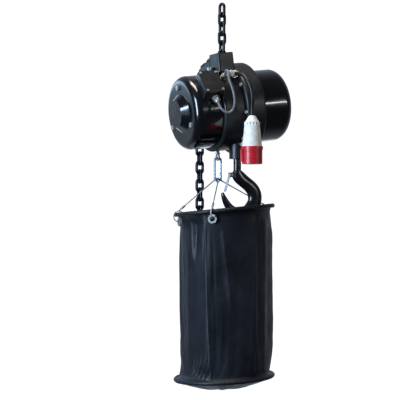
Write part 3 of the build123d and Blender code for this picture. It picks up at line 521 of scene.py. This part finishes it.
def bagRadius(angle, share):
    across = (math.degrees(angle - facing) + 90) % 360 - 90
    fall = share * (bag["topZ"] - bag["bottomZ"])
    rise = (1 - share) * (bag["topZ"] - bag["bottomZ"])
    radius = bag["waist"] + bag["flare"] * (math.exp(-(fall / 0.0065) ** 1.2) + math.exp(-(rise / 0.0055) ** 1.2))
    held = softStep(fall, 0.004, 0.04) * softStep(rise, 0.004, 0.04)
    radius += 0.004 * math.cos(angle - facing - math.pi / 2) * held
    hugging = softStep(fall, 0.002, 0.016) * softStep(rise, 0.002, 0.016)
    radius *= 1 + (facetFactor(across, share) * 1.03 - 1) * hugging
    radius += 0.0045 * max(0.0, -math.cos(angle - facing)) * hugging
    for top, bottom, height, left, right, first, last in ridges:
        place = top + (bottom - top) * share
        fade = softStep(share, first, first + 0.12) * (1 - softStep(share, last - 0.15, last))
        offset = (across - place + 180) % 360 - 180
        radius += height * mm * tent(offset, left, right) * fade * held
    pocket = softStep(across, -52, -44) * (1 - softStep(across, -33 - 6 * share, -27 - 8 * share))
    radius -= 0.010 * pocket * softStep(share, 0.0, 0.07) * (1 - softStep(share, 0.18, 0.36))
    gather = softStep(share, 0.80, 0.97) * softStep(across, -58, -46) * (1 - softStep(across, -22, -17))
    radius += 0.0042 * gather * math.sin(math.radians((across + 45 * (share - 1)) * 52)) * held
    pleats = sum(math.cos(k * angle + k * k) / k for k in (17, 23, 31, 41))
    radius += 0.0005 * pleats * (math.exp(-fall / 0.05) + 0.8 * math.exp(-rise / 0.06)) * held
    spot = Vector((math.cos(angle) * 2.2, math.sin(angle) * 2.2, share * 5))
    radius += 0.0016 * noise.noise(spot) * held
    radius += 0.0007 * noise.noise(spot * 4) * held
    return radius


def bagWall():
    made = bmesh.new()
    cloth = made.loops.layers.uv.new("clothMap")
    height = bag["topZ"] - bag["bottomZ"]
    rows = []
    for j in range(bag["down"] + 1):
        share = j / bag["down"]
        row = []
        for i in range(bag["around"]):
            angle = 2 * math.pi * i / bag["around"]
            radius = bagRadius(angle, share)
            top = hoopHeight(angle, radius, "top")
            bottom = hoopHeight(angle, radius, "bottom")
            row.append(made.verts.new((
                bag["middle"].x + radius * math.cos(angle), bag["middle"].y + radius * math.sin(angle),
                top + (bottom - top) * share)))
        rows.append(row)
    around = 2 * math.pi * bag["waist"]
    for j in range(bag["down"]):
        for i in range(bag["around"]):
            k = (i + 1) % bag["around"]
            face = made.faces.new((rows[j][i], rows[j + 1][i], rows[j + 1][k], rows[j][k]))
            face.smooth = True
            corners = ((i, j), (i, j + 1), (i + 1, j + 1), (i + 1, j))
            for loop, (a, b) in zip(face.loops, corners):
                loop[cloth].uv = (a / bag["around"] * around, b / bag["down"] * height)
    data = bpy.data.meshes.new("bagWall")
    made.to_mesh(data)
    made.free()
    return linkObject("bagWall", data)


def settleCloth(piece, pinned, frames, cap, extra):
    # hang the sheet under gravity with a little spare cloth, its pinned rows held
    group = piece.vertex_groups.new(name="held")
    group.add(pinned, 1.0, "REPLACE")
    start = [v.co.copy() for v in piece.data.vertices]
    modifier = piece.modifiers.new("cloth", "CLOTH")
    settings = modifier.settings
    settings.quality = 6
    settings.mass = 0.25
    settings.tension_stiffness = 40
    settings.compression_stiffness = 40
    settings.shear_stiffness = 20
    settings.bending_stiffness = 0.6
    settings.air_damping = 4
    settings.vertex_group_mass = "held"
    settings.shrink_min = -extra
    modifier.collision_settings.use_collision = False
    modifier.collision_settings.use_self_collision = False
    modifier.point_cache.frame_start = 1
    modifier.point_cache.frame_end = frames
    for count in range(1, frames + 1):
        scene.frame_set(count)
    graph = bpy.context.evaluated_depsgraph_get()
    settled = [v.co.copy() for v in piece.evaluated_get(graph).data.vertices]
    piece.modifiers.clear()
    scene.frame_set(1)
    for vertex, first, last in zip(piece.data.vertices, start, settled):
        move = last - first
        if move.length > cap:
            move *= cap / move.length
        vertex.co = first + move


def thicken(piece, thickness):
    modifier = piece.modifiers.new("thickness", "SOLIDIFY")
    modifier.thickness = thickness
    modifier.offset = -1
    graph = bpy.context.evaluated_depsgraph_get()
    solid = bpy.data.meshes.new_from_object(piece.evaluated_get(graph), depsgraph=graph)
    piece.modifiers.clear()
    piece.data = solid


def finishPiece(piece, finish, body):
    piece.data.materials.clear()
    piece.data.materials.append(finishes[finish])
    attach(piece, body)


wall = bagWall()
around = bag["around"]
last = bag["down"]
held = [row * around + i for row in (0, 1, last - 1, last) for i in range(around)]
settleCloth(wall, held, 10, 0.0025, 0.002)
thicken(wall, bag["thick"])
finishPiece(wall, "bag_nylon", "bag")
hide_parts("chain_bag")
print("bag wall made")


# the floor's long folds run out from its middle, the short ones stay near its hem
floorCut = {"rings": 40, "around": 180, "below": 0.002, "longFold": 0.0022, "shortFold": 0.0012, "dent": 0.0015}


def bagFloor():
    made = bmesh.new()
    cloth = made.loops.layers.uv.new("clothMap")
    ringCount = floorCut["rings"]
    around = floorCut["around"]
    reach = bag["hoopRadius"]
    middle = bag["middle"]
    grid = []
    for j in range(ringCount + 1):
        share = j / ringCount
        row = []
        for i in range(around):
            angle = 2 * math.pi * i / around
            radius = max(reach * share, 0.0005)
            low = hoopHeight(angle, radius, "bottom") - floorCut["below"]
            drop = bag["sag"] * (1 - share ** 2.2)
            drop += floorCut["longFold"] * math.sin(9 * angle + 1.3) * share ** 2 * (1 - share) * 4
            drop += floorCut["shortFold"] * math.sin(23 * angle) * share ** 3 * (1 - share) * 5
            x = middle.x + radius * math.cos(angle)
            y = middle.y + radius * math.sin(angle)
            dent = floorCut["dent"] * noise.noise(Vector((x, y, 0)) * 40) * (1 - share)
            row.append(made.verts.new((x, y, low - drop + dent)))
        grid.append(row)
    for j in range(ringCount):
        for i in range(around):
            k = (i + 1) % around
            face = made.faces.new((grid[j][i], grid[j][k], grid[j + 1][k], grid[j + 1][i]))
            face.smooth = True
    bmesh.ops.remove_doubles(made, verts=made.verts, dist=0.0002)
    for face in made.faces:
        for loop in face.loops:
            loop[cloth].uv = (loop.vert.co.x, loop.vert.co.y)
    bmesh.ops.recalc_face_normals(made, faces=made.faces)
    data = bpy.data.meshes.new("bagFloor")
    made.to_mesh(data)
    made.free()
    if data.polygons[0].normal.z > 0:
        data.flip_normals()
    return linkObject("bagFloor", data)


floorCloth = bagFloor()
thicken(floorCloth, bag["thick"])
finishPiece(floorCloth, "bag_nylon", "bag")


def hoopLine(which, radius, count=240):
    line = []
    for i in range(count):
        angle = 2 * math.pi * i / count
        line.append(Vector((bag["middle"].x + radius * math.cos(angle), bag["middle"].y + radius * math.sin(angle),
                            hoopHeight(angle, radius, which))))
    return line


def hoopSleeve(which):
    # the hem sewn round the sprung hoop, puckered by its stitches
    def pucker(share):
        turn = 2 * math.pi * share
        uneven = noise.noise(Vector((math.cos(turn), math.sin(turn), 0)) * 6)
        return 1 + 0.05 * math.sin(61 * turn) + 0.06 * uneven

    line = hoopLine(which, bag["hoopRadius"] + 0.0005)
    sleeve = tubeMesh(which + "HoopSleeve", line, bag["sleeve"], 14, True, pucker)
    uv = sleeve.data.uv_layers.new(name="clothMap")
    for loop in sleeve.data.loops:
        point = sleeve.data.vertices[loop.vertex_index].co - bag["middle"]
        uv.data[loop.index].uv = (math.atan2(point.y, point.x) * bag["hoopRadius"], point.z)
    finishPiece(sleeve, "bag_nylon", "bag")
    return sleeve


topSleeve = hoopSleeve("top")
bottomSleeve = hoopSleeve("bottom")


# lock stitches, 5.5 mm apart
sewing = {"spacing": 0.0055, "threadRadius": 0.0005, "halfLength": 0.0018, "hemRows": (0.028, 0.965), "seamHalf": 0.03}


def stitchPiece():
    made = bmesh.new()
    bmesh.ops.create_icosphere(made, subdivisions=1, radius=1.0)
    for vertex in made.verts:
        vertex.co.x *= sewing["threadRadius"]
        vertex.co.y *= sewing["threadRadius"]
        vertex.co.z *= sewing["halfLength"]
    data = bpy.data.meshes.new("stitch")
    made.to_mesh(data)
    made.free()
    return linkObject("stitch", data)


def threadFinish():
    # bonded polyester thread: a little lighter and shinier than the cloth
    material, tree, shader = startMaterial("bondedPolyesterThread", "#2b2e37", 0.4)
    place = objectPlace(tree)
    twist = noiseAt(tree, place, 0.8, 1.0)
    bumpFrom(tree, shader, twist.outputs["Fac"], 0.3, 0.1)
    return material


def wallPointAt(angle, share, lift=0.0008):
    radius = bagRadius(angle, share) + lift
    top = hoopHeight(angle, radius, "top")
    bottom = hoopHeight(angle, radius, "bottom")
    return Vector((bag["middle"].x + radius * math.cos(angle), bag["middle"].y + radius * math.sin(angle),
                   top + (bottom - top) * share))


threadMaterial = threadFinish()
stitch = stitchPiece()
stitchLines = []
for shareDown in sewing["hemRows"]:
    stitchLines.append([wallPointAt(2 * math.pi * i / 360, shareDown) for i in range(360)])
bagStitches = repeated("bagStitches", stitchLines, stitch, sewing["spacing"], 0.0, threadMaterial, True)
seamAngle = facing + math.radians(150)
seamLines = [[wallPointAt(seamAngle + side * sewing["seamHalf"], 0.04 + 0.92 * i / 120) for i in range(121)]
             for side in (-1, 1)]
seamStitches = repeated("seamStitches", seamLines, stitch, sewing["spacing"], 0.0, threadMaterial)
for piece in (bagStitches, seamStitches):
    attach(piece, "bag")
bpy.data.objects.remove(stitch)
print("bag sewn")


# the slack chain heaped in the bag
chainLink = {"wireRadius": 3.9, "bow": 8.7, "halfStraight": 7.3, "pitch": 24.0}


def linkPiece():
    wire = chainLink["wireRadius"] * mm
    bow = chainLink["bow"] * mm
    half = chainLink["halfStraight"] * mm
    line = []
    for i in range(20):
        angle = 2 * math.pi * i / 20
        shift = half if math.sin(angle) > 0 else -half
        line.append(Vector((bow * math.cos(angle), 0, bow * math.sin(angle) + shift)))
    return tubeMesh("linkPiece", line, wire, 8, True)


heap = {"turns": 5.5, "outer": 0.078, "inner": 0.018, "seed": 7}
heapLow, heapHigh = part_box("chain_heap")


def heapLine():
    source = random.Random(heap["seed"])
    middle = (heapLow + heapHigh) / 2
    line = []
    steps = 420
    for i in range(steps + 1):
        share = i / steps
        sweep = 1 - abs(2 * share - 1)
        radius = heap["inner"] + (heap["outer"] - heap["inner"]) * (1 - sweep)
        angle = share * heap["turns"] * 2 * math.pi
        wobble = 0.006 * noise.noise(Vector((angle, heap["seed"], 0)))
        height = heapLow.z + 0.012 + 0.022 * sweep * (share > 0.5) + 0.012 * (share > 0.5)
        line.append(Vector((middle.x + (radius + wobble) * math.cos(angle),
                            middle.y + (radius + wobble) * math.sin(angle),
                            height + 0.003 * source.random())))
    return line


linkShape = linkPiece()
chainHeap = repeated("chainHeap", [heapLine()], linkShape, chainLink["pitch"] * mm, math.pi / 2,
                     finishes["blackened_chain"])
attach(chainHeap, "bag")
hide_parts("chain_heap")
bpy.data.objects.remove(linkShape)
for face in chainHeap.data.polygons:
    face.use_smooth = True


# backdrop and light
def plainPlane(name, size, place, turn, color, glow):
    made = bmesh.new()
    bmesh.ops.create_grid(made, x_segments=1, y_segments=1, size=size)
    bmesh.ops.transform(made, matrix=Matrix.Translation(place) @ turn, verts=made.verts)
    data = bpy.data.meshes.new(name)
    made.to_mesh(data)
    made.free()
    plane = linkObject(name, data)
    material, tree, shader = startMaterial(name + "Paper", color, 0.9)
    shader.inputs["Emission Color"].default_value = (1, 1, 1, 1)
    shader.inputs["Emission Strength"].default_value = glow
    plane.data.materials.append(material)
    return plane


farAway = Matrix.Rotation(math.radians(-25), 4, "Z")
plainPlane("backPaper", 4.6, farAway @ Vector((-0.3, 11, -1.0)),
           farAway @ Matrix.Rotation(math.radians(90), 4, "X"), "#ffffff", 1.0)


def areaLight(name, place, aim, size, power, color):
    data = bpy.data.lights.new(name, "AREA")
    data.shape = "RECTANGLE"
    data.size = size[0]
    data.size_y = size[1]
    data.energy = power
    data.color = color
    made = linkObject(name, data)
    made.location = place
    made.rotation_euler = (Vector(aim) - Vector(place)).to_track_quat("-Z", "Y").to_euler()


middleAim = (0, 0, -0.5)
areaLight("leftSoftbox", (-2.4, -0.7, -0.1), middleAim, (0.7, 1.6), 85, (0.58, 0.76, 1.0))
areaLight("rearLeftPanel", (-1.35, 2.7, 0.35), (0, 0, -0.3), (1.5, 1.1), 13, (0.45, 0.72, 1.0))
areaLight("topSoftbox", (-0.4, -0.2, 1.6), (0, 0, -0.2), (1.4, 0.7), 40, (1.0, 0.93, 0.85))
areaLight("rightStrip", (1.6, -2.4, 0.1), (0.1, 0, -0.25), (0.9, 0.16), 8, (1.0, 1.0, 1.0))
areaLight("lowBounce", (0.1, 0.9, -1.7), (0, 0, -0.6), (1.8, 0.9), 2.5, (0.6, 0.8, 1.0))


def studioWorld():
    # dim in front of the object and paler behind it, so that its edges stay clear
    made = bpy.data.worlds.new("studio")
    made.use_nodes = True
    tree = made.node_tree
    place = addNode(tree, "ShaderNodeTexCoord")
    behind = addNode(tree, "ShaderNodeVectorMath", {"operation": "DOT_PRODUCT", 1: (0.42, 0.91, 0.0)},
                     {0: place.outputs["Generated"]})
    shade = ramp(tree, behind.outputs["Value"], 0.1, 0.95, ((0.04, 0.046, 0.056, 1.0), (0.34, 0.39, 0.46, 1.0)))
    tree.links.new(shade.outputs["Color"], tree.nodes["Background"].inputs["Color"])
    return made


world = studioWorld()
scene.world = world
scene.view_settings.view_transform = "Standard"
print("stage lit")
